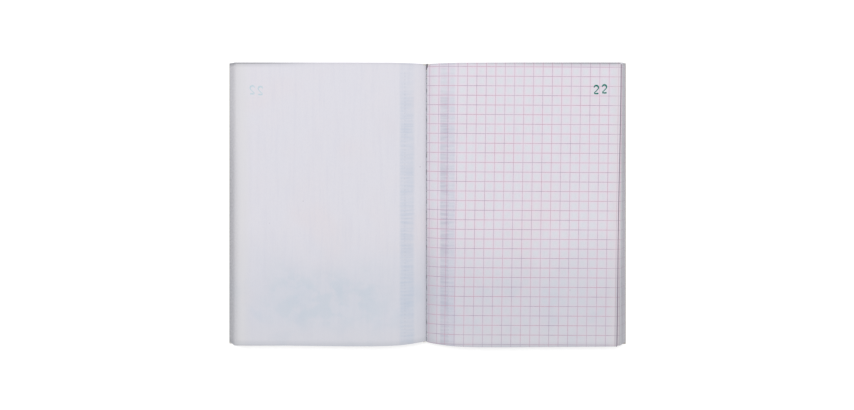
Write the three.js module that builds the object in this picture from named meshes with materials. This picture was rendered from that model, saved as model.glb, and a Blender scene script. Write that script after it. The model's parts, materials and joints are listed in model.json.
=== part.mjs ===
// A triplicate book of numbered leaf sets, lying open on its back at set 22.
// The fold runs along Y, the head is at +Y, the covers lie on Z = 0, sizes are in millimetres.
// Every leaf, both covers and the cloth tape turn about one line, at the top of the fold.

import * as THREE from "three";

// Covers and leaves: how far each half reaches from the fold, and its length from head to tail
const FRONT_REACH = 104.2;
const BACK_REACH = 105.6;
const COVER_LENGTH = 148;
const LEAF_LENGTH = 147;
const LEAF_THICKNESS = 0.2;

// How far the piles have slipped to the head, and the open leaves to the tail
const PILE_SLIP = 0.4;
const OPEN_LEAF_SLIP = -0.3;

// Piles of sets, three leaves to a set
const FRONT_SET_COUNT = 21;
const BACK_SET_COUNT = 28;
const FRONT_SET_PITCH = 0.29;
const BACK_SET_PITCH = 0.2;
const OPEN_SET_NUMBER = FRONT_SET_COUNT + 1;

// Covers, cloth tape and the glue along the bound edge
const FRONT_COVER_THICKNESS = 0.5;
const BACK_COVER_THICKNESS = 0.9;
const TAPE_THICKNESS = 0.2;
const TAPE_WING = 20;
const GLUED_DEPTH = 1.3;

// How the piles are drawn down into the fold
const FOLD_PINCH = 0.36;
const VALLEY_WIDTH = 18;
const STEEP_WIDTH = 2;
const STEEP_SHARE = 0.15;
const VALLEY_STEPS = 7;
const VALLEY_SPACING = 1.5;

// How far the upper fore-edges are drawn in, at the head and at the tail
const FRONT_FAN = { head: 4.6, tail: 4.6 };
const BACK_FAN = { head: 3.2, tail: 4.6 };
const ORIGINAL_DRAW = { head: 5.2, tail: 5.2 };
const DUPLICATE_DRAW = { head: 4.3, tail: 6.3 };
const TRIPLICATE_DRAW = { head: 3.6, tail: 5.2 };
const DUPLICATE_DROP = 0.5;

// Clearances
const FOLD_CLEARANCE = 0.2;
const SHEET_GAP = 0.04;
const SET_GAP_SHARE = 0.15;
const FACING_CLEARANCE = 0.1;
const TAPE_EDGE_CLEARANCE = 0.3;
const TAPE_EDGE_RAMP = 0.6;

// Places that follow from the sizes above
const LEFT = -1;
const RIGHT = 1;
const GLUE_X = FOLD_CLEARANCE + TAPE_THICKNESS + SHEET_GAP;
const BOUND_X = GLUE_X + GLUED_DEPTH + SHEET_GAP;

const FRONT_PILE = {
  side: LEFT,
  reach: FRONT_REACH,
  base: FRONT_COVER_THICKNESS + SHEET_GAP,
  height: FRONT_SET_COUNT * FRONT_SET_PITCH,
  count: FRONT_SET_COUNT,
  fan: FRONT_FAN,
};
const BACK_PILE = {
  side: RIGHT,
  reach: BACK_REACH,
  base: BACK_COVER_THICKNESS + SHEET_GAP,
  height: BACK_SET_COUNT * BACK_SET_PITCH,
  count: BACK_SET_COUNT,
  fan: BACK_FAN,
};

const WHITE_PAPER = { color: 0xdedce6, roughness: 0.85 };
const BLUE_PAPER = { color: 0xd2dae6, roughness: 0.85 };
const PINK_PAPER = { color: 0xe6d6de, roughness: 0.85 };
const PILE_PAPER = { color: 0xd8d7de, roughness: 0.9 };
const COVER_CARD = { color: 0x8fa3b8, roughness: 0.6 };
const COVER_BOARD = { color: 0xa39a8c, roughness: 0.9 };
const TAPE_CLOTH = { color: 0x2c3440, roughness: 0.95 };
const CLEAR_GLUE = { color: 0xe8e2cc, roughness: 0.4 };

// Share of the full drop into the fold at a distance x from it: steep at first, then broad.
function dropShare(x) {
  const broad = Math.max(0, 1 - x / VALLEY_WIDTH) ** 2;
  const steep = Math.max(0, 1 - x / STEEP_WIDTH) ** 2;
  return (1 - STEEP_SHARE) * broad + STEEP_SHARE * steep;
}

// Height of a level of a pile, from 0 at the cover to 1 at the pile's top.
function pileLevel(pile, level, x) {
  const pinch = 1 - (1 - FOLD_PINCH) * dropShare(x);
  return pile.base + level * pile.height * pinch;
}

// Distances from the fold at which each curved face has a row of points.
function valleyStations() {
  const span = VALLEY_WIDTH - BOUND_X;
  const stations = [];
  for (let i = 0; i <= VALLEY_STEPS; i++) {
    stations.push(BOUND_X + span * (i / VALLEY_STEPS) ** VALLEY_SPACING);
  }
  return stations;
}

// A closed sheet between two height functions, from the first station out to its fore-edge.
function sheetGeometry({ side, stations, reach, low, high, length, slip = 0, drop = 0 }) {
  const ends = [
    { y: slip - length / 2, far: reach.tail },
    { y: slip + length / 2, far: reach.head },
  ];
  const points = [];
  for (const end of ends) {
    for (const height of [low, high]) {
      for (const x of [...stations, end.far]) {
        points.push(side * x, end.y - (drop * x) / end.far, height(x));
      }
    }
  }

  const count = stations.length + 1;
  const last = count - 1;
  const at = (end, face, i) => (2 * end + face) * count + i;
  const triangles = [];
  const addQuad = (a, b, c, d) => {
    const corners = side === RIGHT ? [a, b, c, a, c, d] : [a, c, b, a, d, c];
    triangles.push(...corners);
  };
  for (let i = 0; i < last; i++) {
    addQuad(at(0, 0, i), at(1, 0, i), at(1, 0, i + 1), at(0, 0, i + 1));
    addQuad(at(0, 1, i), at(0, 1, i + 1), at(1, 1, i + 1), at(1, 1, i));
    addQuad(at(0, 0, i), at(0, 0, i + 1), at(0, 1, i + 1), at(0, 1, i));
    addQuad(at(1, 0, i), at(1, 1, i), at(1, 1, i + 1), at(1, 0, i + 1));
  }
  addQuad(at(0, 0, 0), at(0, 1, 0), at(1, 1, 0), at(1, 0, 0));
  addQuad(at(0, 0, last), at(1, 0, last), at(1, 1, last), at(0, 1, last));

  const geometry = new THREE.BufferGeometry();
  geometry.setAttribute("position", new THREE.Float32BufferAttribute(points, 3));
  geometry.setIndex(triangles);
  geometry.computeVertexNormals();
  return geometry;
}

// How far a fore-edge reaches when it is drawn in by a share of a fan.
function reachOf(pile, draw, share = 1) {
  return {
    head: pile.reach - draw.head * share,
    tail: pile.reach - draw.tail * share,
  };
}

function mesh(name, geometry, look) {
  const made = new THREE.Mesh(geometry, new THREE.MeshStandardMaterial(look));
  made.name = name;
  return made;
}

// One set of three leaves, the layer between two levels of its pile.
function setMesh(pile, layer, number) {
  const lowLevel = layer / pile.count;
  const highLevel = (layer + 1 - SET_GAP_SHARE) / pile.count;
  const geometry = sheetGeometry({
    side: pile.side,
    stations: valleyStations(),
    reach: reachOf(pile, pile.fan, lowLevel),
    low: (x) => pileLevel(pile, lowLevel, x),
    high: (x) => pileLevel(pile, highLevel, x),
    length: LEAF_LENGTH,
    slip: PILE_SLIP,
  });
  const label = String(number).padStart(2, "0");
  return mesh(`set_${label}`, geometry, PILE_PAPER);
}

// A single leaf of the open set, lying on its pile with a number of leaves beneath it.
function leafMesh(name, pile, beneath, draw, look, drop = 0) {
  const rise = SHEET_GAP + beneath * (LEAF_THICKNESS + SHEET_GAP);
  const geometry = sheetGeometry({
    side: pile.side,
    stations: valleyStations(),
    reach: reachOf(pile, draw),
    low: (x) => pileLevel(pile, 1, x) + rise,
    high: (x) => pileLevel(pile, 1, x) + rise + LEAF_THICKNESS,
    length: LEAF_LENGTH - drop,
    slip: OPEN_LEAF_SLIP + drop / 2,
    drop,
  });
  return mesh(name, geometry, look);
}

// A cover, thinned on its outer face where the wing of the tape is stuck down.
function coverMesh(name, pile, thickness, look) {
  const wingEnd = TAPE_WING + TAPE_EDGE_CLEARANCE;
  const geometry = sheetGeometry({
    side: pile.side,
    stations: [BOUND_X, wingEnd, wingEnd + TAPE_EDGE_RAMP],
    reach: { head: pile.reach, tail: pile.reach },
    low: (x) => (x > wingEnd ? 0 : TAPE_THICKNESS + SHEET_GAP),
    high: () => thickness,
    length: COVER_LENGTH,
  });
  return mesh(name, geometry, look);
}

// A prism along the whole fold, from an outline in X and Z drawn for the right-hand side.
function foldPrism(name, side, outline, look) {
  const shape = new THREE.Shape(outline.map(([x, z]) => new THREE.Vector2(side * x, z)));
  const geometry = new THREE.ExtrudeGeometry(shape, { depth: COVER_LENGTH, bevelEnabled: false });
  geometry.rotateX(Math.PI / 2);
  geometry.translate(0, COVER_LENGTH / 2, 0);
  return mesh(name, geometry, look);
}

// Half of the cloth tape: a wing under the cover and a lip up the fold.
function tapeMesh(name, pile) {
  const lipTop = pileLevel(pile, 1, FOLD_CLEARANCE);
  const lipX = FOLD_CLEARANCE + TAPE_THICKNESS;
  const outline = [
    [FOLD_CLEARANCE, 0],
    [TAPE_WING, 0],
    [TAPE_WING, TAPE_THICKNESS],
    [lipX, TAPE_THICKNESS],
    [lipX, lipTop],
    [FOLD_CLEARANCE, lipTop],
  ];
  return foldPrism(name, pile.side, outline, TAPE_CLOTH);
}

// The padding glue and the bound edges that it has soaked, which stay put while the leaves turn.
function glueMesh(name, pile) {
  const low = TAPE_THICKNESS + SHEET_GAP;
  const farX = GLUE_X + GLUED_DEPTH;
  const outline = [
    [GLUE_X, low],
    [farX, low],
    [farX, pileLevel(pile, 1, farX)],
    [GLUE_X, pileLevel(pile, 1, GLUE_X)],
  ];
  return foldPrism(name, pile.side, outline, CLEAR_GLUE);
}

function frontHalf() {
  const half = new THREE.Group();
  half.add(tapeMesh("spine_tape_front", FRONT_PILE));
  half.add(coverMesh("front_cover", FRONT_PILE, FRONT_COVER_THICKNESS, COVER_CARD));
  half.add(glueMesh("spine_glue_front", FRONT_PILE));
  for (let layer = 0; layer < FRONT_SET_COUNT; layer++) {
    half.add(setMesh(FRONT_PILE, layer, layer + 1));
  }
  const original = `leaf_${OPEN_SET_NUMBER}_original`;
  half.add(leafMesh(original, FRONT_PILE, 0, ORIGINAL_DRAW, WHITE_PAPER));
  return half;
}

function backHalf() {
  const half = new THREE.Group();
  half.add(tapeMesh("spine_tape_back", BACK_PILE));
  half.add(coverMesh("back_cover", BACK_PILE, BACK_COVER_THICKNESS, COVER_BOARD));
  half.add(glueMesh("spine_glue_back", BACK_PILE));
  for (let layer = 0; layer < BACK_SET_COUNT; layer++) {
    half.add(setMesh(BACK_PILE, layer, OPEN_SET_NUMBER + BACK_SET_COUNT - layer));
  }
  const triplicate = `leaf_${OPEN_SET_NUMBER}_triplicate`;
  const duplicate = `leaf_${OPEN_SET_NUMBER}_duplicate`;
  half.add(leafMesh(triplicate, BACK_PILE, 0, TRIPLICATE_DRAW, PINK_PAPER));
  half.add(leafMesh(duplicate, BACK_PILE, 1, DUPLICATE_DRAW, BLUE_PAPER, DUPLICATE_DROP));
  return half;
}

// Height of the line that everything turns about, just above the higher of the two top leaves.
function hingeHeight() {
  const leafStep = LEAF_THICKNESS + SHEET_GAP;
  const frontTop = pileLevel(FRONT_PILE, 1, VALLEY_WIDTH) + leafStep;
  const backTop = pileLevel(BACK_PILE, 1, VALLEY_WIDTH) + 2 * leafStep;
  return Math.max(frontTop, backTop) + FACING_CLEARANCE;
}

// The origin is half way between the two fore-edges, so the fold lies a little to one side of it.
const foldX = (FRONT_REACH - BACK_REACH) / 2;

const book = new THREE.Group();
book.add(frontHalf());
book.add(backHalf());
book.position.x = foldX;
console.log(`fold at x ${foldX.toFixed(3)} mm, hinge line ${hingeHeight().toFixed(3)} mm above the table`);

export default book;
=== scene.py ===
import json
import math
import random

import bpy
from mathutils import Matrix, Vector


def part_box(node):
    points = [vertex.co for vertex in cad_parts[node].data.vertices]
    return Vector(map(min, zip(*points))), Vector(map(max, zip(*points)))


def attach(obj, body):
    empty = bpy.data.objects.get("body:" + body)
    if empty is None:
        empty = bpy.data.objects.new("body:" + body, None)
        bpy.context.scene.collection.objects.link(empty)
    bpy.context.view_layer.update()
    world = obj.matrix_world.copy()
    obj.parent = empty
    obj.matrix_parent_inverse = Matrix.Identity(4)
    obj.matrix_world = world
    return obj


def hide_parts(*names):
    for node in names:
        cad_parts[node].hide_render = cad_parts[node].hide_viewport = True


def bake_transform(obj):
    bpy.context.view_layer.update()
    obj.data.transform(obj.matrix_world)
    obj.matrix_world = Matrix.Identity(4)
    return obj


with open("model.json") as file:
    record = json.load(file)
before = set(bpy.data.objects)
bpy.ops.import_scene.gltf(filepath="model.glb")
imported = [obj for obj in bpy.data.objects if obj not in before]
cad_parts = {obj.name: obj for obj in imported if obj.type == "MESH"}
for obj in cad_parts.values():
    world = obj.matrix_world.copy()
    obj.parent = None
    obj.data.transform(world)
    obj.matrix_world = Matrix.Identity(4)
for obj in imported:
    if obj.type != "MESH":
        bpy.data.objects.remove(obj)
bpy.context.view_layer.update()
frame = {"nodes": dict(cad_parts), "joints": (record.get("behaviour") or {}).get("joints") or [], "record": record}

MM = 0.001

# The photograph: its width, its scale at the page surface, where the fold is, and where the camera stood
IMAGE_WIDTH = 854
PIXELS_PER_MM = 1.93
FOLD_PIXEL = 426.6
CAMERA_PIXELS_ABOVE_CENTRE = 85
CAMERA_HEIGHT = 340 * MM
SENSOR_WIDTH_MM = 36

# The fold, and the two halves of the open book on either side of it
FOLD_X = frame["joints"][0]["pos_m"][0]
LEFT = -1
RIGHT = 1

# How the piles are drawn down into the fold, as in the solids
FOLD_PINCH = 0.36
VALLEY_WIDTH = 18 * MM
STEEP_WIDTH = 2 * MM
STEEP_SHARE = 0.15
SET_GAP_SHARE = 0.15

# Where turning paper leaves the bound edge, and where it is free of it
BEND_START = 1.8 * MM
LEAF_BEND_END = 9 * MM
PILE_BEND_END = 13 * MM

# The sheets: those of the open set run right down into the fold, just below the tops of their solids
SHEETS_PER_SET = 3
SHEET_SHARE = 0.75
SHEET_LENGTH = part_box("set_01")[1][1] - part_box("set_01")[0][1]
OPEN_LEAF_THICKNESS = 0.1 * MM
OPEN_LEAF_FOLD_GAP = 0.22 * MM
OPEN_LEAF_SINK = 0.01 * MM
COCKLE_DEPTH = 0.05 * MM

# The cut edges near the fold: the sheets lean back there, at the tail more than at the head
PULL_WIDTH = 30 * MM
HEAD_PULL = 0.55 * MM
TAIL_PULL = 1.7 * MM

# How far in from their solids' tail the closed sets end, before each sheet's slip
SET_TAIL_GAP = 0.12 * MM

# The ruling of squares
RULE_PITCH_ACROSS = 4.9 * MM
RULE_PITCH_ALONG = 4.965 * MM
RULE_FIRST_ACROSS = 1.65 * MM
RULE_FIRST_ALONG = 71.9 * MM
RULE_LEAN = 0.0149
RULE_LEAN_AT_FOLD = 0.2
RULE_DROP = 0.0055
RULE_WIDTH = 0.26 * MM
RULE_BLEED = 1.7 * MM

# The bands that the binding pressed into the paper: how far from the fold each starts and ends
BACK_BAND = (6.6 * MM, 13.8 * MM)
FRONT_DARK_BAND = (7.1 * MM, 11.2 * MM)
FRONT_LIGHT_BAND = (11.2 * MM, 14.7 * MM)

# The stamped numbers, and how far from the fold and above mid-page they start
DIGIT_WIDTH = 2.25 * MM
DIGIT_HEIGHT = 4.2 * MM
DIGIT_STROKE = 0.84 * MM
DIGIT_STEP = 4.2 * MM
DIGIT_STAGGER = 0.35 * MM
DIGIT_THICKNESS = 0.01 * MM
NUMBER_CORNER = (86.8 * MM, 57.7 * MM)
GHOST_CORNER = (85.0 * MM, 57.2 * MM)

# The perforation by which the open leaves tear out
PERFORATION_ACROSS = 11.2 * MM
PERFORATION_PITCH = 1.9 * MM
PERFORATION_CUT = 1.0 * MM
PERFORATION_WIDTH = 0.12 * MM
PERFORATION_END_GAP = 2 * MM

# The cloth along the spine: how far its two lips stand from the fold, how thick it is, and its weave
LIP_OUTSIDE = 0.02 * MM
LIP_INSIDE = 0.20 * MM
CLOTH_THICKNESS = 0.18 * MM
THREADS_PER_METRE = 2200

# How far out from the fold the covers' corners are cut back, and how much the back cover is trimmed
COVER_CORNER = 10 * MM
BACK_COVER_TRIM = 0.6 * MM

# The studio: how strong the surroundings are as a light, and a floor lifted to white
WORLD_STRENGTH = 0.567
FLOOR_GLOW = 0.43
FLOOR_HALF_WIDTH = 3.0
FLOOR_DROP = 0.02 * MM

SEED = 22


def srgb(red, green, blue):
    """A colour written from 0 to 255, as the linear colour that Blender mixes."""
    def linear(value):
        share = value / 255
        return share / 12.92 if share <= 0.04045 else ((share + 0.055) / 1.055) ** 2.4
    return (linear(red), linear(green), linear(blue), 1)


def link(name, data):
    piece = bpy.data.objects.new(name, data)
    bpy.context.collection.objects.link(piece)
    return piece


def solid_piece(name, points, faces, material, turned_over):
    """A piece of one material, with its faces turned the right way out."""
    mesh = bpy.data.meshes.new(name)
    mesh.from_pydata(points, [], [face[::-1] for face in faces] if turned_over else faces)
    mesh.materials.append(material)
    return link(name, mesh)


def slot_of(node):
    """The material slot that the record gives a node."""
    return next(row["material_slot"] for row in frame["record"]["subparts"] if row["node"] == node)


class Nodes:
    """A material, and a short way to write its nodes."""

    def __init__(self, name):
        self.material = bpy.data.materials.new(name)
        self.material.use_nodes = True
        self.tree = self.material.node_tree
        self.shader = self.tree.nodes["Principled BSDF"]
        self.output = self.tree.nodes["Material Output"]

    def add(self, kind, **settings):
        node = self.tree.nodes.new(kind)
        for key, value in settings.items():
            setattr(node, key, value)
        return node

    def put(self, value, socket):
        """Joins an output to a socket, or sets the socket's own value."""
        if isinstance(value, bpy.types.NodeSocket):
            self.tree.links.new(value, socket)
        else:
            socket.default_value = value

    def math(self, operation, a, b=0.0):
        node = self.add("ShaderNodeMath", operation=operation)
        self.put(a, node.inputs[0])
        self.put(b, node.inputs[1])
        return node.outputs[0]

    def times(self, first, *others):
        """The product of two or more values."""
        product = first
        for other in others:
            product = self.math("MULTIPLY", product, other)
        return product

    def smooth(self, value, low, high, to_low=0.0, to_high=1.0):
        """A smooth step from to_low, where the value is low, to to_high, where it is high."""
        node = self.add("ShaderNodeMapRange", interpolation_type="SMOOTHSTEP")
        self.put(value, node.inputs["Value"])
        node.inputs["From Min"].default_value = low
        node.inputs["From Max"].default_value = high
        node.inputs["To Min"].default_value = to_low
        node.inputs["To Max"].default_value = to_high
        return node.outputs["Result"]

    def mix(self, factor, a, b):
        """A mix of two colours, by the node's sockets for colours."""
        node = self.add("ShaderNodeMix", data_type="RGBA")
        self.put(factor, node.inputs[0])
        self.put(a, node.inputs[6])
        self.put(b, node.inputs[7])
        return node.outputs[2]

    def noise(self, vector, scale, detail=2.0, rough=0.5):
        """Noise over a vector, with one scale or a scale for each axis."""
        if isinstance(scale, tuple):
            mapping = self.add("ShaderNodeMapping")
            self.put(vector, mapping.inputs["Vector"])
            mapping.inputs["Scale"].default_value = scale
            vector = mapping.outputs["Vector"]
            scale = 1.0
        node = self.add("ShaderNodeTexNoise")
        self.put(vector, node.inputs["Vector"])
        node.inputs["Scale"].default_value = scale
        node.inputs["Detail"].default_value = detail
        node.inputs["Roughness"].default_value = rough
        return node.outputs["Fac"]

    def split(self, vector):
        node = self.add("ShaderNodeSeparateXYZ")
        self.put(vector, node.inputs[0])
        return node.outputs

    def uv(self, name):
        """A pair of measures laid on the mesh, in metres, as a vector and one by one."""
        vector = self.add("ShaderNodeUVMap", uv_map=name).outputs["UV"]
        axes = self.split(vector)
        return vector, axes["X"], axes["Y"]

    def place(self):
        """The place in the piece's own space, in metres."""
        return self.add("ShaderNodeTexCoord").outputs["Object"]

    def bump(self, height, distance, strength, under=None):
        node = self.add("ShaderNodeBump")
        self.put(height, node.inputs["Height"])
        node.inputs["Distance"].default_value = distance
        node.inputs["Strength"].default_value = strength
        if under is not None:
            self.put(under, node.inputs["Normal"])
        return node.outputs["Normal"]

    def finish(self, colour, roughness, normal, sheen=0.0):
        self.put(colour, self.shader.inputs["Base Color"])
        self.put(roughness, self.shader.inputs["Roughness"])
        self.put(normal, self.shader.inputs["Normal"])
        self.shader.inputs["Specular IOR Level"].default_value = 0.25
        self.shader.inputs["Sheen Weight"].default_value = sheen
        return self.material


# Paper

class Paper(Nodes):
    """One face of the paper. It knows its place on the page and how far off the cut edges are."""

    def __init__(self, name, base):
        super().__init__(name)
        self.page, self.across, self.along = self.uv("page")
        _, self.from_edge, self.from_tail = self.uv("rim")
        self.from_head = self.math("SUBTRACT", SHEET_LENGTH, self.from_tail)
        self.tone = base

    def tint(self, factor, colour):
        self.tone = self.mix(factor, self.tone, colour)

    def uneven_height(self, scale, detail, depth):
        """The place up the page, shifted by noise so that no stain ends in a straight line."""
        return self.math("ADD", self.along, self.times(self.noise(self.page, scale, detail), depth))

    def below_head(self, at_head, lower):
        """A share that goes from one value near the head to another below the middle."""
        return self.smooth(self.along, 60 * MM, 10 * MM, at_head, lower)

    def cloud(self):
        """Uneven pulp: cloudy patches, upright streaks from the paper machine, and fibres."""
        patches = self.noise(self.page, 60, 3, 0.55)
        self.tint(self.smooth(patches, 0.35, 0.7, 0.0, 0.3), srgb(225, 221, 227))
        warm = self.noise(self.page, 26, 2)
        self.tint(self.smooth(warm, 0.52, 0.72, 0.0, 0.4), srgb(226, 219, 224))
        streaks = self.noise(self.page, (520, 40, 1), 3, 0.6)
        self.tint(self.smooth(streaks, 0.42, 0.72, 0.0, 0.22), srgb(211, 210, 222))
        fibres = self.noise(self.page, (1500, 600, 1), 4, 0.65)
        self.tint(self.smooth(fibres, 0.4, 0.75, 0.0, 0.16), srgb(205, 205, 217))

    def painted_foot_shade(self, strength, colour):
        """Painted shade: a cooler, greyer lower third, in soft patches, where the light falls off towards the
        foot.
        """
        height = self.uneven_height(42, 3, 22 * MM)
        self.tint(self.smooth(height, 6 * MM, -40 * MM, 0.0, strength), colour)
        patches = self.smooth(self.noise(self.page, 85, 2), 0.45, 0.7, 0.0, 0.18)
        where = self.smooth(height, -20 * MM, -36 * MM)
        self.tint(self.times(patches, where), srgb(184, 200, 216))
        self.tint(self.smooth(self.along, -56 * MM, -72 * MM, 0.0, 0.35), srgb(214, 213, 218))

    def blotches(self, depth):
        """Bluish stains in the lower part, as if something had pressed through."""
        stains = self.noise(self.page, 120, 3, 0.55)
        strength = self.times(
            self.smooth(stains, 0.42, 0.58, depth * 0.3, depth),
            self.smooth(self.across, 10 * MM, 34 * MM),
            self.smooth(self.across, 94 * MM, 70 * MM),
            self.smooth(self.uneven_height(60, 2, 20 * MM), -14 * MM, -36 * MM),
            self.smooth(self.along, -68 * MM, -54 * MM),
        )
        self.tint(strength, srgb(190, 205, 217))

    def pressed_band(self, band, soft, colour, depth):
        """A band along the fold that the binding pressed. Gives back the fine ribs across it."""
        near, far = band
        ribs = self.noise(self.page, (70, 830, 1), 2, 0.5)
        worn = self.noise(self.page, (120, 60, 1), 2, 0.5)
        strength = self.times(
            self.smooth(self.across, near - soft, near + soft),
            self.smooth(self.across, far - soft, far + soft, 1.0, 0.0),
            self.smooth(ribs, 0.3, 0.7, 0.5, 1.15),
            self.smooth(worn, 0.3, 0.7, 0.75, 1.1),
            self.smooth(self.along, 66 * MM, 40 * MM, 0.45, 1.0),
            depth,
        )
        self.tint(strength, colour)
        return ribs

    def fold_shade(self, reach, depth):
        """Painted shade: the paper greys where it runs down into the fold, more towards the foot."""
        shade = self.smooth(self.across, reach, 0.0, 0.0, depth)
        lower = self.smooth(self.along, 10 * MM, -50 * MM, 0.4, 1.0)
        self.tint(self.times(shade, lower), srgb(156, 158, 170))

    def off_line(self, measure, first, pitch):
        """The distance to the nearest line of a ruling."""
        steps = self.math("DIVIDE", self.math("SUBTRACT", measure, first), pitch)
        off_middle = self.math("ABSOLUTE", self.math("SUBTRACT", self.math("FRACT", steps), 0.5))
        return self.times(self.math("SUBTRACT", 0.5, off_middle), pitch)

    def lay_out_squares(self):
        """Finds the distances to the lines of the squares, which are printed a little out of true."""
        lean = self.smooth(self.across, 0.0, 10 * MM, RULE_LEAN * RULE_LEAN_AT_FOLD, RULE_LEAN)
        leaned = self.math("ADD", self.across, self.times(self.from_head, lean))
        dropped = self.math("ADD", self.along, self.times(self.across, RULE_DROP))
        self.off_upright = self.off_line(leaned, RULE_FIRST_ACROSS, RULE_PITCH_ACROSS)
        self.off_level = self.off_line(dropped, RULE_FIRST_ALONG, RULE_PITCH_ALONG)

    def bleed(self, colour):
        """Ink spread thinly into the paper beside the lines."""
        nearest = self.math("MINIMUM", self.off_upright, self.off_level)
        self.tint(self.smooth(nearest, 0.0, RULE_BLEED, 0.55, 0.0), colour)

    def rule(self, ink, faded_ink):
        """The lines, in ink that thins and varies."""
        inner = RULE_WIDTH / 2 * 0.7
        outer = RULE_WIDTH / 2 * 1.3
        upright = self.smooth(self.off_upright, inner, outer, 0.8, 0.0)
        level = self.smooth(self.off_level, inner, outer, 1.0, 0.0)
        worn = self.smooth(self.noise(self.page, (900, 900, 1), 2, 0.6), 0.25, 0.6, 0.7, 1.0)
        faint = self.smooth(self.noise(self.page, 55, 2), 0.35, 0.65, 0.75, 1.0)
        hue = self.smooth(self.noise(self.page, 120, 1), 0.42, 0.58)
        lines = self.times(self.math("MAXIMUM", upright, level), worn, faint)
        self.tint(lines, self.mix(hue, ink, faded_ink))

    def soiled_and_shaded_edges(self, head, tail, clean_to):
        """Greyer at the cut tail, and at the cut head from some way out towards the fore-edge: partly soil and
        partly painted shade, strongest at the heads of the piles.
        """
        near_head = self.smooth(self.from_head, 2.2 * MM, 0.0, 0.0, head)
        outer = self.smooth(self.across, clean_to, 95 * MM, 0.12, 1.0)
        self.tint(self.times(near_head, outer), srgb(146, 147, 153))
        self.tint(self.smooth(self.from_tail, 3.4 * MM, 0.0, 0.0, tail), srgb(164, 169, 178))

    def greyer_towards_tail_corner(self, depth):
        """Greyer along the fore-edge towards its tail corner."""
        near_edge = self.smooth(self.from_edge, 2.2 * MM, 0.6 * MM, 0.0, depth)
        lower = self.smooth(self.along, -10 * MM, -50 * MM)
        self.tint(self.times(near_edge, lower), srgb(120, 123, 129))

    def speck(self, across, along, size):
        """A small fleck in the paper."""
        run = self.math("SUBTRACT", self.across, across)
        rise = self.math("SUBTRACT", self.along, along)
        distance = self.math("SQRT", self.math("ADD", self.times(run, run), self.times(rise, rise)))
        self.tint(self.smooth(distance, size, 0.0, 0.0, 0.55), srgb(150, 140, 158))

    def done(self, ribs):
        """Slow cockling, the binding's ribs, and the tooth of the paper."""
        cockle = self.bump(self.noise(self.page, (45, 30, 1)), 0.4 * MM, 0.3)
        near_fold = self.smooth(self.across, 15 * MM, 12.5 * MM)
        ribbed = self.bump(self.times(ribs, near_fold), 0.08 * MM, 0.5, cockle)
        tooth = self.bump(self.noise(self.page, (2600, 2600, 1), 3, 0.6), 0.02 * MM, 0.6, ribbed)
        return self.finish(self.tone, 0.82, tooth, sheen=0.08)


def blank_paper(name, in_pile):
    """The back of a leaf."""
    paper = Paper(name, srgb(223, 222, 230))
    paper.cloud()
    paper.painted_foot_shade(0.30, srgb(194, 201, 213))
    paper.tint(paper.smooth(paper.across, 90 * MM, 96 * MM, 0.0, 0.45), srgb(220, 219, 219))
    ribs = paper.pressed_band(BACK_BAND, 0.9 * MM, srgb(176, 192, 212), 0.36)
    paper.fold_shade(6.6 * MM, 0.10)
    if not in_pile:
        paper.blotches(0.38)
        paper.speck(3.4 * MM, 19.6 * MM, 0.5 * MM)
        paper.speck(64 * MM, 2 * MM, 0.4 * MM)
        paper.speck(81.5 * MM, -9.5 * MM, 0.3 * MM)
    paper.soiled_and_shaded_edges(0.75 if in_pile else 0.22, 0.30, 50 * MM)
    # Painted shade and soil: the stepped margins darken out towards the fore-edge, more below the head.
    fore_edge_soil_and_shade = paper.smooth(paper.across, 95 * MM, 106 * MM, 0.0, 0.56)
    grain = paper.smooth(paper.noise(paper.page, (900, 1000, 1), 2), 0.3, 0.7, 0.75, 1.15)
    paper.tint(paper.times(fore_edge_soil_and_shade, grain, paper.below_head(0.6, 1.0)), srgb(128, 130, 137))
    return paper.done(ribs)


def ruled_paper(name, base, in_pile, edge_line):
    """The front of a leaf, with a line of some strength along its cut fore-edge."""
    paper = Paper(name, base)
    paper.lay_out_squares()
    paper.cloud()
    paper.bleed(srgb(235, 213, 228))
    paper.painted_foot_shade(0.42, srgb(195, 195, 206))
    ribs = paper.pressed_band(FRONT_DARK_BAND, 0.4 * MM, srgb(166, 168, 188), 0.48)
    paper.pressed_band(FRONT_LIGHT_BAND, 0.5 * MM, srgb(182, 186, 206), 0.38)
    paper.fold_shade(9 * MM, 0.36)
    paper.rule(srgb(192, 154, 174), srgb(168, 152, 174))
    if in_pile:
        paper.soiled_and_shaded_edges(0.75, 0.30, 5 * MM)
        # Painted shade and soil on the stepped fan: streaked margins, greyer below the head, and a dark line along
        # each sheet's cut fore-edge.
        margin = paper.smooth(paper.from_edge, 1.6 * MM, 0.6 * MM, 0.0, 0.85)
        streaks = paper.smooth(paper.noise(paper.page, (900, 14, 1), 2), 0.3, 0.7, 0.55, 1.0)
        paper.tint(paper.times(margin, streaks), srgb(226, 227, 232))
        paper.tint(paper.times(margin, paper.below_head(0.0, 0.14)), srgb(120, 123, 129))
        paper.greyer_towards_tail_corner(0.10)
        cut = paper.smooth(paper.from_edge, 0.26 * MM, 0.08 * MM, 0.0, edge_line)
        paper.tint(cut, srgb(144, 144, 151))
    else:
        paper.speck(74.3 * MM, -44.1 * MM, 0.45 * MM)
        paper.speck(38.5 * MM, 12 * MM, 0.3 * MM)
        paper.soiled_and_shaded_edges(0.25, 0.30, 5 * MM)
        paper.tint(paper.smooth(paper.from_edge, 6 * MM, 2 * MM, 0.0, 0.35), srgb(219, 214, 217))
        paper.greyer_towards_tail_corner(0.24)
        # Painted shadow beneath the leaf's edge, with the edge's own tint: a dark line along its cut fore-edge.
        cut = paper.smooth(paper.from_edge, 0.55 * MM, 0.32 * MM, 0.0, edge_line)
        paper.tint(cut, srgb(134, 118, 138))
    return paper.done(ribs)


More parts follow.
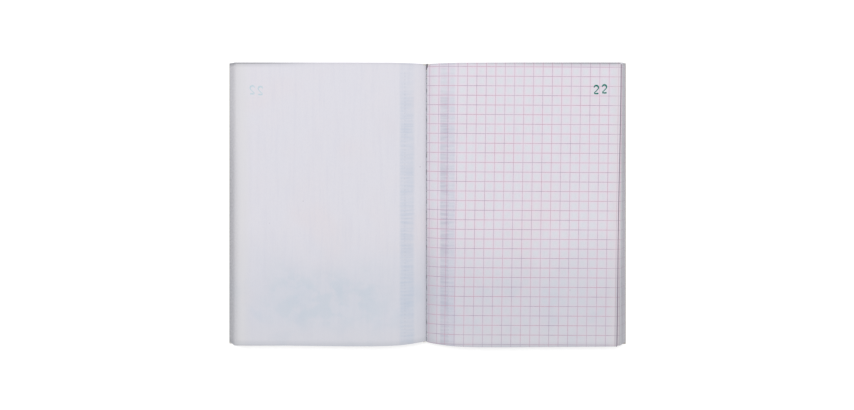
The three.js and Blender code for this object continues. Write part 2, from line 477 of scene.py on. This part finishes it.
def edge_paper():
    """The cut edges of the sheets: darker than their faces as painted shade, and a little soiled."""
    nodes = Nodes("paper_edge")
    place = nodes.place()
    layers = nodes.noise(place, (60, 60, 14000), 2, 0.7)
    soil = nodes.noise(place, 260, 3, 0.6)
    tone = nodes.mix(nodes.smooth(layers, 0.3, 0.7), srgb(176, 175, 182), srgb(216, 213, 220))
    tone = nodes.mix(nodes.smooth(soil, 0.45, 0.75, 0.0, 0.35), tone, srgb(156, 156, 163))
    return nodes.finish(tone, 0.9, nodes.bump(layers, 0.05 * MM, 0.5))


# Covers, cloth, glue and ink

def card_material():
    """Cover card: coated and blue outside, plain and pale inside."""
    nodes = Nodes("cover_card")
    place = nodes.place()
    mottle = nodes.noise(place, 900, 4, 0.6)
    scuff = nodes.noise(place, (60, 700, 60), 3, 0.7)
    coated = nodes.mix(nodes.smooth(mottle, 0.35, 0.7), srgb(108, 134, 163), srgb(117, 143, 171))
    coated = nodes.mix(nodes.smooth(scuff, 0.62, 0.8, 0.0, 0.3), coated, srgb(168, 182, 196))
    pulp = nodes.noise(place, (700, 1500, 700), 4, 0.65)
    plain = nodes.mix(nodes.smooth(pulp, 0.35, 0.7), srgb(203, 200, 192), srgb(216, 213, 206))
    low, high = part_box("front_cover")
    middle = (low[2] + high[2]) / 2
    height = nodes.split(place)["Z"]
    inside = nodes.smooth(height, middle - 0.05 * MM, middle + 0.05 * MM)
    tone = nodes.mix(inside, coated, plain)
    grain = nodes.noise(place, 5200, 2)
    return nodes.finish(tone, nodes.smooth(scuff, 0.4, 0.8, 0.45, 0.65), nodes.bump(grain, 0.02 * MM, 0.5))


def board_material():
    """Greyboard: matted pulp with dark flecks."""
    nodes = Nodes("cover_board")
    place = nodes.place()
    pulp = nodes.noise(place, 1500, 5, 0.7)
    patches = nodes.noise(place, 120, 2, 0.5)
    fleck = nodes.noise(place, (1900, 4600, 1900), 2, 0.6)
    tone = nodes.mix(nodes.smooth(pulp, 0.3, 0.7), srgb(160, 153, 142), srgb(180, 173, 161))
    tone = nodes.mix(nodes.smooth(patches, 0.35, 0.7, 0.0, 0.3), tone, srgb(150, 145, 137))
    tone = nodes.mix(nodes.smooth(fleck, 0.68, 0.74, 0.0, 0.6), tone, srgb(112, 106, 100))
    return nodes.finish(tone, 0.92, nodes.bump(pulp, 0.06 * MM, 0.5))


def cloth_material():
    """Dark book cloth in a plain weave, soaked pale with glue along the fold."""
    nodes = Nodes("tape_cloth")
    page, from_fold, along = nodes.uv("page")
    turns = math.tau * THREADS_PER_METRE
    warp = nodes.math("SINE", nodes.times(from_fold, turns))
    weft = nodes.math("SINE", nodes.times(along, turns))
    weave = nodes.times(warp, weft)
    slub = nodes.noise(page, (500, 3000, 1), 3, 0.6)
    tone = nodes.mix(nodes.smooth(weave, -0.6, 0.8), srgb(38, 45, 58), srgb(60, 69, 86))
    tone = nodes.mix(nodes.smooth(slub, 0.5, 0.8, 0.0, 0.5), tone, srgb(84, 92, 106))
    soaked = nodes.times(
        nodes.smooth(from_fold, 0.6 * MM, 0.3 * MM),
        nodes.smooth(nodes.noise(page, (60, 330, 1), 3, 0.6), 0.36, 0.56, 0.5, 1.0),
        nodes.smooth(along, 72.2 * MM, 69.5 * MM, 0.75, 1.0),
    )
    tone = nodes.mix(soaked, tone, srgb(202, 203, 214))
    return nodes.finish(tone, 0.88, nodes.bump(weave, 0.04 * MM, 0.6), sheen=0.3)


def glue_material():
    """Dried padding glue, milky and clotted."""
    nodes = Nodes("padding_glue")
    clot = nodes.noise(nodes.place(), 900, 3, 0.6)
    tone = nodes.mix(nodes.smooth(clot, 0.35, 0.7), srgb(206, 203, 196), srgb(232, 230, 226))
    nodes.shader.inputs["Subsurface Weight"].default_value = 0.2
    nodes.shader.inputs["Subsurface Radius"].default_value = (1 * MM, 1 * MM, 1 * MM)
    return nodes.finish(tone, 0.35, nodes.bump(clot, 0.1 * MM, 0.6))


def patchy_material(name, strong, weak):
    """Ink, shadow or thread that thins in patches."""
    nodes = Nodes(name)
    patch = nodes.noise(nodes.place(), 2600, 3, 0.6)
    tone = nodes.mix(nodes.smooth(patch, 0.35, 0.7), strong, weak)
    return nodes.finish(tone, 0.7, nodes.bump(patch, 0.01 * MM, 0.4))


TINTED = srgb(222, 223, 231)
PINK = srgb(232, 216, 223)

LEAF_BACK = blank_paper("paper_back_open", in_pile=False)
LEAF_FRONT = ruled_paper("paper_front_open", TINTED, in_pile=False, edge_line=0.95)
PINK_FRONT = ruled_paper("paper_front_open_pink", PINK, in_pile=False, edge_line=0.30)
PILE_BACK = blank_paper("paper_back_pile", in_pile=True)
PILE_FRONT = ruled_paper("paper_front_pile", TINTED, in_pile=True, edge_line=0.32)
EDGE = edge_paper()
CARD = card_material()
BOARD = board_material()
CLOTH = cloth_material()
GLUE = glue_material()
NUMBER_INK = patchy_material("number_ink", srgb(0, 92, 84), srgb(22, 138, 122))
GHOST_INK = patchy_material("ghost_ink", srgb(188, 208, 218), srgb(208, 218, 226))
# Painted shadow in the perforation's cuts.
CUT_SHADOW = patchy_material("perforation_cut", srgb(176, 176, 188), srgb(200, 200, 211))
WISP_TONE = patchy_material("frayed_cloth", srgb(88, 82, 88), srgb(118, 111, 117))


# The piles of sets

class Pile:
    """One half of the book: its side, the bodies that hold and turn it, and the levels of its sets.

    Its fore-edge stands in by the inset, steps after every few sets, and draws back at the tail.
    """

    def __init__(self, side, board, pages, numbers, sets_in_step, inset, tail_draw_back=0.0):
        self.side = side
        self.board = board
        self.pages = pages
        self.nodes = [f"set_{number:02d}" for number in numbers]
        self.count = len(self.nodes)
        self.sets_in_step = sets_in_step
        self.inset = inset
        self.tail_draw_back = tail_draw_back
        self.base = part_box(self.nodes[0])[0][2]
        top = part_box(self.nodes[-1])[1][2]
        self.height = (top - self.base) * self.count / (self.count - SET_GAP_SHARE)

    def surface(self, level, across):
        """The height of a level of the pile, which narrows towards the fold."""
        broad = max(0.0, 1 - across / VALLEY_WIDTH) ** 2
        steep = max(0.0, 1 - across / STEEP_WIDTH) ** 2
        drop = (1 - STEEP_SHARE) * broad + STEEP_SHARE * steep
        return self.base + level * self.height * (1 - (1 - FOLD_PINCH) * drop)

    def reach(self, node):
        """How far out from the fold a node goes."""
        low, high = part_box(node)
        return high[0] - FOLD_X if self.side == RIGHT else FOLD_X - low[0]

    def place(self, across, along, height):
        return (FOLD_X + self.side * across, along, height)


FRONT = Pile(LEFT, "front_board", "front_pages", range(1, 22), sets_in_step=1, inset=0.15 * MM)
BACK = Pile(
    RIGHT, "back_board", "back_pages", range(50, 22, -1),
    sets_in_step=4, inset=1.0 * MM, tail_draw_back=1.4 * MM,
)


# Sheets

def stations(first, reach, near_steps, far_steps):
    """Distances from the fold: close together where the paper bends, wide apart beyond."""
    crowding = 1.4
    near = [first + (VALLEY_WIDTH - first) * (i / near_steps) ** crowding for i in range(near_steps + 1)]
    return near + [VALLEY_WIDTH + (reach - VALLEY_WIDTH) * i / far_steps for i in range(1, far_steps + 1)]


def pull(across):
    """How much of their pull back the cut edges have at a distance from the fold."""
    return max(0.0, 1 - across / PULL_WIDTH) ** 2


class SheetMesh:
    """Gathers closed sheets into one mesh.

    Two UV layers tell the materials where they are: page holds the distances across and along the
    page, and rim holds those from the cut fore-edge and the tail.
    """

    FRONT_FACE = 0
    BACK_FACE = 1
    CUT_EDGE = 2
    SHARP_ANGLE = math.radians(40)

    def __init__(self, pile):
        self.pile = pile
        self.points = []
        self.page = []
        self.rim = []
        self.faces = []
        self.kinds = []

    def add(self, columns, row_count, far_at, head_at, tail_at, height_at, thickness):
        """One sheet. Its far edge goes by the share of the way up, its head and tail by the distance out."""
        first = len(self.points)
        flat_run = columns[-1] - VALLEY_WIDTH
        for lift in (0.0, -thickness):
            for row in range(row_count + 1):
                share = row / row_count
                far = far_at(share)
                for column in columns:
                    beyond = max(0.0, column - VALLEY_WIDTH)
                    across = column - beyond + beyond * (far - VALLEY_WIDTH) / flat_run
                    along = tail_at(across) + (head_at(across) - tail_at(across)) * share
                    self.points.append(self.pile.place(across, along, height_at(across, along) + lift))
                    self.page.append((across, along))
                    self.rim.append((far - across, share * SHEET_LENGTH))
        self.add_faces(first, len(columns), row_count + 1)

    def add_faces(self, first, wide, long):
        """The two faces of a sheet, then the cut edges at its tail, head, fold and far side."""
        def at(layer, row, column):
            return first + (layer * long + row) * wide + column

        def quad(kind, *corners):
            self.faces.append(corners if self.pile.side == RIGHT else corners[::-1])
            self.kinds.append(kind)

        upper, lower = self.FRONT_FACE, self.BACK_FACE
        if self.pile.side == LEFT:
            upper, lower = lower, upper
        top_row = long - 1
        far_column = wide - 1
        for j in range(top_row):
            for i in range(far_column):
                quad(upper, at(0, j, i), at(0, j, i + 1), at(0, j + 1, i + 1), at(0, j + 1, i))
                quad(lower, at(1, j, i), at(1, j + 1, i), at(1, j + 1, i + 1), at(1, j, i + 1))
        for i in range(far_column):
            quad(self.CUT_EDGE, at(1, 0, i), at(1, 0, i + 1), at(0, 0, i + 1), at(0, 0, i))
            quad(self.CUT_EDGE, at(1, top_row, i), at(0, top_row, i),
                 at(0, top_row, i + 1), at(1, top_row, i + 1))
        for j in range(top_row):
            quad(self.CUT_EDGE, at(1, j, 0), at(0, j, 0), at(0, j + 1, 0), at(1, j + 1, 0))
            quad(self.CUT_EDGE, at(1, j, far_column), at(1, j + 1, far_column),
                 at(0, j + 1, far_column), at(0, j, far_column))

    def build(self, name, front, back):
        mesh = bpy.data.meshes.new(name)
        mesh.from_pydata(self.points, [], self.faces)
        for material in (front, back, EDGE):
            mesh.materials.append(material)
        page = mesh.uv_layers.new(name="page")
        rim = mesh.uv_layers.new(name="rim")
        for polygon, kind in zip(mesh.polygons, self.kinds):
            polygon.material_index = kind
            polygon.use_smooth = True
            for loop in polygon.loop_indices:
                vertex = mesh.loops[loop].vertex_index
                page.data[loop].uv = self.page[vertex]
                rim.data[loop].uv = self.rim[vertex]
        mesh.set_sharp_from_angle(angle=self.SHARP_ANGLE)
        return link(name, mesh)


def bend(piece, pile, held, turned, bend_end):
    """Bakes the piece's placement into its mesh."""
    start = pile.place(BEND_START, 0, 0)
    end = pile.place(bend_end, 0, 0)
    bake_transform(piece)


def make_set(pile, layer):
    """The leaves of one closed set, each a little out of line with the next."""
    node = pile.nodes[layer]
    dice = random.Random(f"{SEED} {node}")
    low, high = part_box(node)
    step_layer = layer - layer % pile.sets_in_step
    reach = pile.reach(pile.nodes[step_layer]) - pile.inset
    draw_back = pile.tail_draw_back * step_layer / pile.count
    pitch = pile.height / pile.count
    filled = 1 - SET_GAP_SHARE
    sheets = SheetMesh(pile)
    for k in range(SHEETS_PER_SET):
        level = (layer + filled * (k + 1) / SHEETS_PER_SET) / pile.count
        short = dice.uniform(0.0, 0.30) * MM
        skew = dice.uniform(-0.2, 0.2) * MM
        slip = dice.uniform(-0.12, 0.0) * MM
        sheets.add(
            columns=stations(BEND_START, reach, near_steps=10, far_steps=3),
            row_count=8,
            far_at=lambda share: reach - draw_back * (1 - share) - short - skew * (share - 0.5),
            head_at=lambda across: high[1] + slip - HEAD_PULL * pull(across),
            tail_at=lambda across: low[1] + SET_TAIL_GAP + slip + TAIL_PULL * pull(across),
            height_at=lambda across, along: pile.surface(level, across),
            thickness=pitch * filled / SHEETS_PER_SET * SHEET_SHARE,
        )
    piece = sheets.build("pages_" + node, PILE_FRONT, PILE_BACK)
    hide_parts(node)
    slot_of(node)
    bend(piece, pile, pile.board, pile.pages, PILE_BEND_END)


# The faces of a box whose corners go across, then along, then down
BOX_FACES = [(0, 1, 3, 2), (4, 6, 7, 5), (0, 4, 5, 1), (2, 3, 7, 6), (0, 2, 6, 4), (1, 5, 7, 3)]


class OpenLeaf:
    """One leaf of the open set: cockled a little, and running right down into the fold.

    Its tail edge climbs towards the outer corner, from a share of the way out.
    """

    EDGE_BOW = 0.12 * MM
    EDGE_WAVES = 1.3
    CORNER_FROM = 0.45

    def __init__(self, node, pile, held, turned, head_reach, tail_reach, head_trim, tail_trim, corner_rise):
        self.node = node
        self.pile = pile
        self.held = held
        self.turned = turned
        low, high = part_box(node)
        self.top = high[2] - pile.surface(1, VALLEY_WIDTH) - OPEN_LEAF_SINK
        self.head = high[1] - head_trim
        self.tail = low[1] + tail_trim
        self.head_reach = head_reach
        self.tail_reach = tail_reach
        self.corner_rise = corner_rise

    def far_at(self, share):
        """The fore-edge slants from head to tail, and waves a little."""
        bow = self.EDGE_BOW * math.sin(share * math.tau * self.EDGE_WAVES + 1.0)
        return self.tail_reach + (self.head_reach - self.tail_reach) * share + bow

    def head_at(self, across):
        return self.head - HEAD_PULL * pull(across)

    def tail_at(self, across):
        beyond = max(0.0, across / self.head_reach - self.CORNER_FROM)
        return self.tail + TAIL_PULL * pull(across) + self.corner_rise * beyond

    def height_at(self, across, along):
        """The height of the leaf's top: flat beside the fold, and in slow waves further out."""
        eased = min(1.0, max(0.0, (across - VALLEY_WIDTH / 2) / VALLEY_WIDTH))
        # In radians for each metre
        sway = 1.7 * math.sin(along * 60)
        waves = math.sin(across * 95 + sway) * math.sin(along * 72 + 0.6)
        sink = COCKLE_DEPTH * eased * (0.5 + 0.5 * waves)
        return self.pile.surface(1, across) + self.top - sink

    def make(self, front):
        sheet = SheetMesh(self.pile)
        sheet.add(
            columns=stations(OPEN_LEAF_FOLD_GAP, self.head_reach, near_steps=22, far_steps=26),
            row_count=44,
            far_at=self.far_at, head_at=self.head_at, tail_at=self.tail_at, height_at=self.height_at,
            thickness=OPEN_LEAF_THICKNESS,
        )
        piece = sheet.build("page_" + self.node, front, LEAF_BACK)
        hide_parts(self.node)
        slot_of(self.node)
        bend(piece, self.pile, self.held, self.turned, LEAF_BEND_END)
        self.make_perforation()

    def make_perforation(self):
        """A row of short cuts beside the bound edge, drawn as slips just proud of both faces, in the painted
        shadow of the cuts.
        """
        points, faces = [], []
        proud = 0.004 * MM
        first_cut = self.tail_at(PERFORATION_ACROSS) + PERFORATION_END_GAP
        span = self.head_at(PERFORATION_ACROSS) - PERFORATION_END_GAP - first_cut
        for i in range(int(span / PERFORATION_PITCH)):
            along = first_cut + i * PERFORATION_PITCH
            first = len(points)
            for lift in (proud, -OPEN_LEAF_THICKNESS - proud):
                for y in (along, along + PERFORATION_CUT):
                    for x in (PERFORATION_ACROSS, PERFORATION_ACROSS + PERFORATION_WIDTH):
                        points.append(self.pile.place(x, y, self.height_at(x, y) + lift))
            faces += [tuple(first + corner for corner in face) for face in BOX_FACES]
        name = self.node.replace("leaf", "perforation")
        piece = solid_piece(name, points, faces, CUT_SHADOW, self.pile.side == LEFT)
        slot_of(self.node)
        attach(piece, self.turned)


# Numbers

def arc(centre, radius_x, radius_y, from_degrees, to_degrees, steps, swell):
    """Points along part of an ellipse, each with the stroke's width there, which swells in the middle."""
    thin = 0.55
    points = []
    for i in range(steps + 1):
        share = i / steps
        angle = math.radians(from_degrees + (to_degrees - from_degrees) * share)
        x = centre[0] + radius_x * math.cos(angle)
        y = centre[1] + radius_y * math.sin(angle)
        points.append((x, y, thin + swell * math.sin(math.pi * share)))
    return points


def digit_two():
    """A 2 with a full bowl, a thin neck and a flat foot, in a square of side 1."""
    bowl = arc((0.5, 0.73), 0.5, 0.27, 175, -35, 12, 0.5)
    neck = [(0.45, 0.30, 0.55), (0.02, 0.10, 0.5)]
    foot = [(0.0, 0.02, 0.75), (0.55, 0.0, 0.85), (1.0, 0.03, 0.95)]
    return [bowl + neck, foot]


def digit_three():
    """A 3 of two bowls that meet at the waist, in a square of side 1."""
    return [
        arc((0.45, 0.76), 0.42, 0.24, 165, -88, 10, 0.45),
        arc((0.45, 0.26), 0.5, 0.26, 88, -165, 10, 0.5),
    ]


def add_stroke(line, place_at, points, faces):
    """Adds a thin closed ribbon along (x, y, width) points, with its width in digit strokes."""
    first = len(points)
    upper, lower = [], []
    count = len(line)
    for i, (x, y, width) in enumerate(line):
        before = Vector(line[max(0, i - 1)][:2])
        after = Vector(line[min(count - 1, i + 1)][:2])
        along = (after - before).normalized()
        out = Vector((-along.y, along.x)) * DIGIT_STROKE * width / 2
        for side in (1, -1):
            edge = Vector((x, y)) + out * side
            upper.append(place_at(edge.x, edge.y, DIGIT_THICKNESS))
            lower.append(place_at(edge.x, edge.y, -DIGIT_THICKNESS / 2))
    points += upper + lower
    under = 2 * count
    last = under - 2
    quads = [(0, under, under + 1, 1), (last, last + 1, under + last + 1, under + last)]
    for a in range(0, last, 2):
        b, c, d = a + 1, a + 3, a + 2
        quads += [
            (a, b, c, d),
            (under + a, under + d, under + c, under + b),
            (a, d, under + d, under + a),
            (b, under + b, under + c, c),
        ]
    faces += [tuple(first + corner for corner in quad) for quad in quads]


def make_number(name, digits, leaf_height, pile, corner, body, ink=NUMBER_INK, on_top=True):
    """A number from a corner (across, along) outwards, on a leaf's top or its underside."""
    points, faces = [], []
    outward = 1 if on_top else -1
    for index, lines in enumerate(digits):
        left = corner[0] + index * DIGIT_STEP
        foot = corner[1] + index * DIGIT_STAGGER

        def place_at(x, y, lift):
            return pile.place(left + x, foot + y, leaf_height(left + x, foot + y) + outward * lift)

        for line in lines:
            sized = [(x * DIGIT_WIDTH, y * DIGIT_HEIGHT, width) for x, y, width in line]
            add_stroke(sized, place_at, points, faces)
    piece = solid_piece(name, points, faces, ink, (pile.side == LEFT) == on_top)
    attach(piece, body)


# The spine

def make_spine_cloth():
    """One strip of cloth: a wing under each cover and a lip up each side of the fold, joined at the top."""
    back_low, back_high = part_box("spine_tape_back")
    front_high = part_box("spine_tape_front")[1]
    wing = back_high[0] - FOLD_X

    def profile(stand, height, below_top):
        """One face of the cloth from wing to wing, as (across, height)."""
        right = [(wing, height), (stand, height), (stand, back_high[2] - below_top)]
        left = [(-stand, front_high[2] - below_top), (-stand, height), (-wing, height)]
        return right + left

    outer = profile(LIP_OUTSIDE, 0.0, CLOTH_THICKNESS)
    inner = profile(LIP_INSIDE, CLOTH_THICKNESS, 0.0)
    lip = back_high[2]
    from_fold = [lip + wing, lip, 0.0, 0.0, lip, lip + wing]
    pulled = [0, 1, 1, 1, 1, 0]
    bays = 48
    points, places, faces = [], [], []
    for bay in range(bays + 1):
        share = bay / bays
        for line in (outer, inner):
            for (x, z), distance, lean in zip(line, from_fold, pulled):
                tail = back_low[1] + lean * TAIL_PULL
                head = back_high[1] - lean * HEAD_PULL
                along = tail + (head - tail) * share
                points.append((FOLD_X + x, along, z))
                places.append((distance, along))
    n = len(outer)
    for bay in range(bays):
        a = 2 * n * bay
        b = a + 2 * n
        for i in range(n - 1):
            faces.append((a + i, a + i + 1, b + i + 1, b + i))
            faces.append((a + n + i, b + n + i, b + n + i + 1, a + n + i + 1))
        faces.append((a, b, b + n, a + n))
        faces.append((a + n - 1, a + 2 * n - 1, b + 2 * n - 1, b + n - 1))
    last = 2 * n * bays
    for i in range(n - 1):
        faces.append((i, n + i, n + i + 1, i + 1))
        faces.append((last + i, last + i + 1, last + n + i + 1, last + n + i))
    piece = solid_piece("spine_cloth", points, faces, CLOTH, False)
    layer = piece.data.uv_layers.new(name="page")
    for loop in piece.data.loops:
        layer.data[loop.index].uv = places[loop.vertex_index]
    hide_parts("spine_tape_back", "spine_tape_front")
    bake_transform(piece)


def make_glue(node, body):
    """The dried glue along one side of the fold, kept within the ends of the sheets there."""
    solid = frame["nodes"][node]
    mesh = solid.data.copy()
    mesh.transform(solid.matrix_world)
    low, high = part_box(node)
    tail = low[1] + TAIL_PULL
    head = high[1] - HEAD_PULL
    for vertex in mesh.vertices:
        share = (vertex.co.y - low[1]) / (high[1] - low[1])
        vertex.co.y = tail + (head - tail) * share
    mesh.materials.clear()
    mesh.materials.append(GLUE)
    piece = link("dried_" + node, mesh)
    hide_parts(node)
    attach(piece, body)


def make_dark_wisps(leaf):
    """Two dark wisps that lie beside the fold at its head."""
    # Points of each wisp: across and below the head in millimetres, and the width in digit strokes
    wisps = [
        [(0.28, -0.4, 0.5), (0.36, 0.4, 0.6), (0.34, 1.2, 0.6), (0.2, 1.8, 0.4)],
        [(0.12, 1.9, 0.3), (0.02, 2.3, 0.45), (0.0, 2.8, 0.25)],
    ]
    digits_thick = 6
    points, faces = [], []

    def place_at(across, along, lift):
        return BACK.place(across, along, leaf.height_at(max(0.0, across), along) + digits_thick * lift)

    for wisp in wisps:
        line = [(across * MM, leaf.head - below_head * MM, width) for across, below_head, width in wisp]
        add_stroke(line, place_at, points, faces)
    piece = solid_piece("frayed_cloth", points, faces, WISP_TONE, False)
    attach(piece, "back_board")


def make_glue_beads(leaf):
    """Small beads of glue squeezed up in the fold and beside it."""
    # Each bead in millimetres: how far below the head, its radius, and how far from the fold
    beads = [
        (3.2, 0.26, 0.0), (6.6, 0.26, 0.15), (20.6, 0.2, 0.4),
        (46.8, 0.22, 0.42), (103.2, 0.2, 0.4), (141.0, 0.24, 0.44),
    ]
    rings = 6
    around = 10
    stand = 0.7
    narrow = 0.8
    long = 1.5
    points, faces = [], []
    for below_head, size, off_fold in beads:
        top = len(points)
        radius = size * MM
        across = off_fold * MM
        along = leaf.head - below_head * MM
        height = leaf.height_at(across, along) + radius * stand
        points.append(BACK.place(across, along, height + radius))
        for ring in range(1, rings):
            polar = math.pi * ring / rings
            for step in range(around):
                turn = math.tau * step / around
                lump = 1.0 + 0.18 * math.sin(3 * turn + below_head)
                points.append(BACK.place(
                    across + radius * narrow * math.sin(polar) * math.cos(turn) * lump,
                    along + radius * long * math.sin(polar) * math.sin(turn),
                    height + radius * math.cos(polar),
                ))
        bottom = len(points)
        points.append(BACK.place(across, along, height - radius))
        for step in range(around):
            following = (step + 1) % around
            faces.append((top, top + 1 + step, top + 1 + following))
            faces.append((bottom - around + step, bottom, bottom - around + following))
            for ring in range(rings - 2):
                a = top + 1 + ring * around
                b = a + around
                faces.append((a + step, b + step, b + following, a + following))
    piece = solid_piece("glue_beads", points, faces, GLUE, False)
    for polygon in piece.data.polygons:
        polygon.use_smooth = True
    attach(piece, "back_board")


def make_cover(node, pile, trim, material):
    """A cover whose corners beside the fold are cut back as far as the sheets are there."""
    low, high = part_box(node)
    near = min(abs(low[0] - FOLD_X), abs(high[0] - FOLD_X))
    far = pile.reach(node) - trim
    outline = [
        (near, low[1] + TAIL_PULL),
        (near + COVER_CORNER, low[1]),
        (far, low[1]),
        (far, high[1]),
        (near + COVER_CORNER, high[1]),
        (near, high[1] - HEAD_PULL),
    ]
    count = len(outline)
    points = [pile.place(across, along, height) for height in (low[2], high[2]) for across, along in outline]
    faces = [tuple(reversed(range(count))), tuple(range(count, 2 * count))]
    for i in range(count):
        following = (i + 1) % count
        faces.append((i, following, count + following, count + i))
    piece = solid_piece("trimmed_" + node, points, faces, material, pile.side == LEFT)
    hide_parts(node)
    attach(piece, pile.board)


# Stage, light and camera

def link_seen_directly(tree, socket):
    """Puts into the socket 1 for what the camera sees straight, in a reflection or through glass."""
    path = tree.nodes.new("ShaderNodeLightPath")
    seen = path.outputs["Is Camera Ray"]
    for kind in ("Is Glossy Ray", "Is Transmission Ray"):
        either = tree.nodes.new("ShaderNodeMath")
        either.operation = "MAXIMUM"
        tree.links.new(seen, either.inputs[0])
        tree.links.new(path.outputs[kind], either.inputs[1])
        seen = either.outputs[0]
    tree.links.new(seen, socket)


def make_floor():
    """A plain floor that is lifted to white where it is seen, and keeps the book's shadow."""
    nodes = Nodes("floor")
    nodes.shader.inputs["Base Color"].default_value = (0.8, 0.8, 0.8, 1)
    nodes.shader.inputs["Roughness"].default_value = 0.95
    nodes.shader.inputs["Specular IOR Level"].default_value = 0.0
    glow = nodes.add("ShaderNodeEmission")
    glow.inputs["Strength"].default_value = FLOOR_GLOW
    lifted = nodes.add("ShaderNodeAddShader")
    choice = nodes.add("ShaderNodeMixShader")
    nodes.put(nodes.shader.outputs[0], lifted.inputs[0])
    nodes.put(glow.outputs[0], lifted.inputs[1])
    link_seen_directly(nodes.tree, choice.inputs[0])
    nodes.put(nodes.shader.outputs[0], choice.inputs[1])
    nodes.put(lifted.outputs[0], choice.inputs[2])
    nodes.put(choice.outputs[0], nodes.output.inputs["Surface"])
    half = FLOOR_HALF_WIDTH
    corners = [(x, y, -FLOOR_DROP) for x, y in ((-half, -half), (half, -half), (half, half), (-half, half))]
    solid_piece("floor", corners, [(0, 1, 2, 3)], nodes.material, False)


def add_area_light(name, place, size, power):
    """A soft square lamp that looks at the middle of the book."""
    light = bpy.data.lights.new(name, "AREA")
    light.shape = "SQUARE"
    light.size = size
    light.energy = power
    lamp = link(name, light)
    lamp.location = place
    lamp.rotation_euler = (-Vector(place)).to_track_quat("-Z", "Y").to_euler()


def make_lights():
    """Even light from all round, a soft lamp on the left towards the head, and a weaker one on the right.

    The surroundings are white where they are seen, and weaker as a light.
    """
    world = bpy.data.worlds.new("studio")
    bpy.context.scene.world = world
    world.use_nodes = True
    tree = world.node_tree
    strength = tree.nodes.new("ShaderNodeMapRange")
    strength.inputs["To Min"].default_value = WORLD_STRENGTH
    strength.inputs["To Max"].default_value = 1.0
    link_seen_directly(tree, strength.inputs["Value"])
    background = tree.nodes["Background"]
    background.inputs["Color"].default_value = (1, 1, 1, 1)
    tree.links.new(strength.outputs["Result"], background.inputs["Strength"])
    add_area_light("key", place=(-0.35, 0.6, 1.0), size=0.7, power=6.0)
    add_area_light("fill", place=(0.6, 0.1, 1.0), size=0.9, power=2.0)


def make_camera():
    """Straight above the book, a little towards its head."""
    data = bpy.data.cameras.new("camera")
    camera = link("camera", data)
    page_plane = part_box("leaf_22_duplicate")[1][2]
    width_seen = IMAGE_WIDTH / PIXELS_PER_MM * MM
    data.sensor_width = SENSOR_WIDTH_MM
    data.lens = SENSOR_WIDTH_MM * CAMERA_HEIGHT / width_seen
    data.shift_y = -CAMERA_PIXELS_ABOVE_CENTRE / IMAGE_WIDTH
    data.clip_start = 10 * MM
    camera.location = (
        FOLD_X + (IMAGE_WIDTH / 2 - FOLD_PIXEL) / PIXELS_PER_MM * MM,
        CAMERA_PIXELS_ABOVE_CENTRE / PIXELS_PER_MM * MM,
        page_plane + CAMERA_HEIGHT,
    )
    bpy.context.scene.camera = camera


# The book

make_camera()
make_lights()
make_floor()
bpy.context.scene.view_settings.view_transform = "Standard"

for half_book in (FRONT, BACK):
    for set_layer in range(half_book.count):
        make_set(half_book, set_layer)

original = OpenLeaf(
    "leaf_22_original", FRONT, held="front_pages", turned="original",
    head_reach=98.9 * MM, tail_reach=98.4 * MM,
    head_trim=0.15 * MM, tail_trim=0.5 * MM, corner_rise=1.3 * MM,
)
triplicate = OpenLeaf(
    "leaf_22_triplicate", BACK, held="back_pages", turned="triplicate",
    head_reach=101.5 * MM, tail_reach=100.0 * MM,
    head_trim=0.25 * MM, tail_trim=0.7 * MM, corner_rise=0.4 * MM,
)
duplicate = OpenLeaf(
    "leaf_22_duplicate", BACK, held="triplicate", turned="duplicate",
    head_reach=101.0 * MM, tail_reach=98.7 * MM,
    head_trim=0.15 * MM, tail_trim=0.05 * MM, corner_rise=0.6 * MM,
)
original.make(LEAF_FRONT)
triplicate.make(PINK_FRONT)
duplicate.make(LEAF_FRONT)


def under_original(across, along):
    return original.height_at(across, along) - OPEN_LEAF_THICKNESS


def on_set_23(across, along):
    return BACK.surface((BACK.count - SET_GAP_SHARE) / BACK.count, across)


TWENTY_TWO = [digit_two(), digit_two()]
TWENTY_THREE = [digit_two(), digit_three()]

make_number("number_22_duplicate", TWENTY_TWO, duplicate.height_at, BACK, NUMBER_CORNER,
            body="duplicate")
make_number("number_22_triplicate", TWENTY_TWO, triplicate.height_at, BACK, NUMBER_CORNER,
            body="triplicate")
make_number("number_23", TWENTY_THREE, on_set_23, BACK, NUMBER_CORNER,
            body="back_pages")
make_number("number_22_original", TWENTY_TWO, under_original, FRONT, GHOST_CORNER,
            body="original", on_top=False)
make_number("number_22_ghost", TWENTY_TWO, original.height_at, FRONT, GHOST_CORNER,
            body="original", ink=GHOST_INK)

make_spine_cloth()
make_glue("spine_glue_front", "front_board")
make_glue("spine_glue_back", "back_board")
make_dark_wisps(duplicate)
make_glue_beads(duplicate)
make_cover("front_cover", FRONT, trim=0.0, material=CARD)
make_cover("back_cover", BACK, trim=BACK_COVER_TRIM, material=BOARD)
